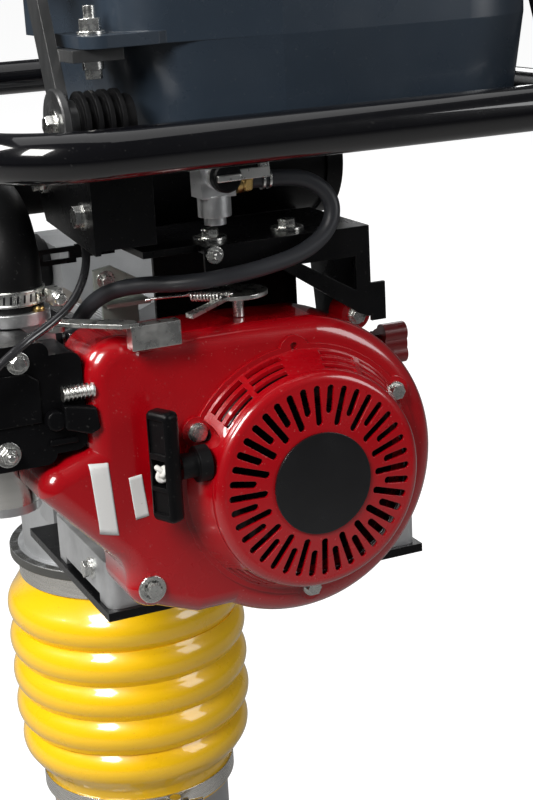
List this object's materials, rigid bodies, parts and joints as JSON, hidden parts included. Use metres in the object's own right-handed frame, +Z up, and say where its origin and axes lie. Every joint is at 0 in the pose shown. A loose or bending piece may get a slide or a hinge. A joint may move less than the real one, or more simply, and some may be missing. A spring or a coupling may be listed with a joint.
{
  "type": "jumping jack rammer",
  "caption": "Petrol soil rammer: engine and crankcase on a sprung leg with a ribbed bellows and flat foot, carried by a black tube handle with a fuel tank.",
  "frame": {"origin": "on the flat sole, where the leg's axis meets the ground", "axes": "+Z up, -Y towards the operator, +X to the operator's right; the leg leans forward, towards +Y"},
  "size_m": [0.4963, 0.6598, 1.1321],
  "materials": {
    "sole_steel": "worn sole plate",
    "wood": "laminated and oiled",
    "grey_paint": "satin grey paint",
    "zinc_bolt": "zinc plated",
    "machined_steel": "machined",
    "spring_steel": "oiled",
    "stainless": "stainless band",
    "yellow_rubber": "glossy polyurethane",
    "cast_light": "cast",
    "cast_case": "cast and painted grey",
    "friction": "friction shoes",
    "black_steel": "satin black",
    "tube_gloss": "gloss black",
    "red_paint": "gloss red",
    "black_disc": "plain disc",
    "black_rubber": "moulded",
    "black_plastic": "moulded",
    "cable_black": "sheath",
    "zinc_cast": "die cast",
    "zinc_plate": "zinc plated",
    "muffler_steel": "heat tinted",
    "tank_plastic": "slate blue grey",
    "red_plastic": "moulded"
  },
  "bodies": {
    "foot": {"sole_plate": "sole_steel", "foot_block": "wood", "leg_skirt": "grey_paint", "foot_bolts": "zinc_bolt", "spring_cylinder": "machined_steel", "rammer_springs": "spring_steel", "lower_clamp": "stainless"},
    "piston": {"piston": "machined_steel", "piston_rod": "machined_steel"},
    "machine": {"bellows": "yellow_rubber", "upper_clamp": "stainless", "guide_tube": "machined_steel", "crankcase": "cast_case", "crankcase_cover": "cast_case", "cover_bolts": "zinc_bolt", "clutch_housing": "cast_case", "base_plate": "black_steel", "engine_block": "cast_light", "cylinder_head": "cast_light", "rocker_cover": "black_steel", "engine_bolts": "zinc_bolt", "muffler": "muffler_steel", "fan_cover": "red_paint", "recoil_cover": "red_paint", "recoil_bolts": "zinc_bolt", "centre_disc": "black_disc", "rope_guide": "black_rubber", "carb_cover": "black_plastic", "carburettor": "zinc_cast", "intake_hose": "black_rubber", "air_cleaner": "black_plastic", "control_bracket": "zinc_plate", "tray_beam": "black_steel", "fuel_hose": "black_rubber", "throttle_cable": "cable_black"},
    "crank": {"crank_gear": "machined_steel"},
    "conrod": {"connecting_rod": "machined_steel"},
    "drum": {"clutch_drum": "machined_steel"},
    "rotor": {"crankshaft": "machined_steel", "flywheel": "cast_light", "clutch_shoes": "friction"},
    "pulley": {"recoil_pulley": "black_plastic"},
    "grip": {"starter_grip": "black_plastic"},
    "switch": {"stop_switch": "red_plastic"},
    "governor": {"governor_arm": "zinc_plate"},
    "choke": {"choke_lever": "zinc_plate"},
    "handle": {"handle_frame": "tube_gloss", "handle_arms": "black_steel", "shock_mounts": "black_rubber", "fuel_tank": "tank_plastic", "handle_bolts": "zinc_bolt", "lifting_arms": "black_steel", "rear_bracket": "black_steel", "rubber_block": "black_rubber", "fuel_valve": "zinc_cast", "throttle_mount": "black_plastic"},
    "roller": {"lifting_roller": "machined_steel"},
    "cap": {"tank_cap": "black_plastic"},
    "valve": {"valve_lever": "zinc_cast"},
    "throttle": {"throttle_lever": "black_plastic"}
  },
  "joints": [
    {"name": "foot_slide", "type": "slide", "parent": "machine", "child": "foot", "axis": [0, 0.1392, 0.9903], "range_m": [-0.04, 0.025], "stiffness_N_per_m": 60000, "springref_m": -0.01253, "deforming": ["bellows", "rammer_springs"]},
    {"name": "piston_slide", "type": "slide", "parent": "machine", "child": "piston", "axis": [0, 0.1392, 0.9903], "range_m": [-0.04, 0], "stiffness_N_per_m": 30000, "springref_m": 0.001, "deforming": ["rammer_springs"]},
    {"name": "crank_spin", "type": "hinge", "parent": "machine", "child": "crank", "pos_m": [0, 0.0213, 0.58271], "axis": [0, 0.9903, -0.1392], "continuous": true},
    {"name": "conrod_swing", "type": "hinge", "parent": "crank", "child": "conrod", "pos_m": [0, 0.0835, 0.59416], "axis": [0, 0.9903, -0.1392], "continuous": true},
    {"name": "drum_spin", "type": "hinge", "parent": "machine", "child": "drum", "pos_m": [0, 0.03522, 0.68173], "axis": [0, 0.9903, -0.1392], "continuous": true},
    {"name": "engine_spin", "type": "hinge", "parent": "machine", "child": "rotor", "pos_m": [0, -0.30147, 0.72905], "axis": [0, 0.9903, -0.1392], "continuous": true},
    {"name": "grip_pull", "type": "slide", "parent": "machine", "child": "grip", "axis": [-1, 0, 0], "range_m": [0, 0.6], "stiffness_N_per_m": 20, "springref_m": -0.25},
    {"name": "recoil_turn", "type": "hinge", "parent": "machine", "child": "pulley", "pos_m": [0, -0.36089, 0.7374], "axis": [0, 0.9903, -0.1392], "range_deg": [0, 800]},
    {"name": "switch_turn", "type": "hinge", "parent": "machine", "child": "switch", "pos_m": [0.11, -0.26313, 0.78627], "axis": [1, 0, 0], "range_deg": [0, 60]},
    {"name": "governor_swing", "type": "hinge", "parent": "machine", "child": "governor", "pos_m": [-0.03, -0.30318, 0.86057], "axis": [0, 0.1392, 0.9903], "range_deg": [-12, 12]},
    {"name": "choke_turn", "type": "hinge", "parent": "machine", "child": "choke", "pos_m": [-0.168, -0.30249, 0.86552], "axis": [0, 0.1392, 0.9903], "range_deg": [-30, 0]},
    {"name": "handle_rock", "type": "hinge", "parent": "machine", "child": "handle", "pos_m": [0, 0.09726, 0.7639], "axis": [1, 0, 0], "range_deg": [-1.5, 1.5], "stiffness_Nm_per_rad": 14000, "springref_deg": -0.16, "deforming": ["fuel_hose", "throttle_cable"]},
    {"name": "roller_turn", "type": "hinge", "parent": "handle", "child": "roller", "pos_m": [0.022, 0.03481, 1.10996], "axis": [1, 0, 0], "continuous": true},
    {"name": "cap_turn", "type": "hinge", "parent": "handle", "child": "cap", "pos_m": [0.06, -0.23868, 1.10396], "axis": [0, 0.1392, 0.9903], "range_deg": [-120, 0]},
    {"name": "valve_turn", "type": "hinge", "parent": "handle", "child": "valve", "pos_m": [-0.047, -0.31612, 0.95529], "axis": [0, 0.9903, -0.1392], "range_deg": [0, 90]},
    {"name": "throttle_turn", "type": "hinge", "parent": "handle", "child": "throttle", "pos_m": [-0.222, -0.22701, 1.0074], "axis": [0, 0.1392, 0.9903], "range_deg": [-60, 0]}
  ],
  "couplings": [
    {"joint": "conrod_swing", "follows": "crank_spin", "ratio": -1},
    {"joint": "drum_spin", "follows": "crank_spin", "ratio": -4},
    {"joint": "recoil_turn", "follows": "grip_pull", "rad_per_m": 22.727}
  ]
}
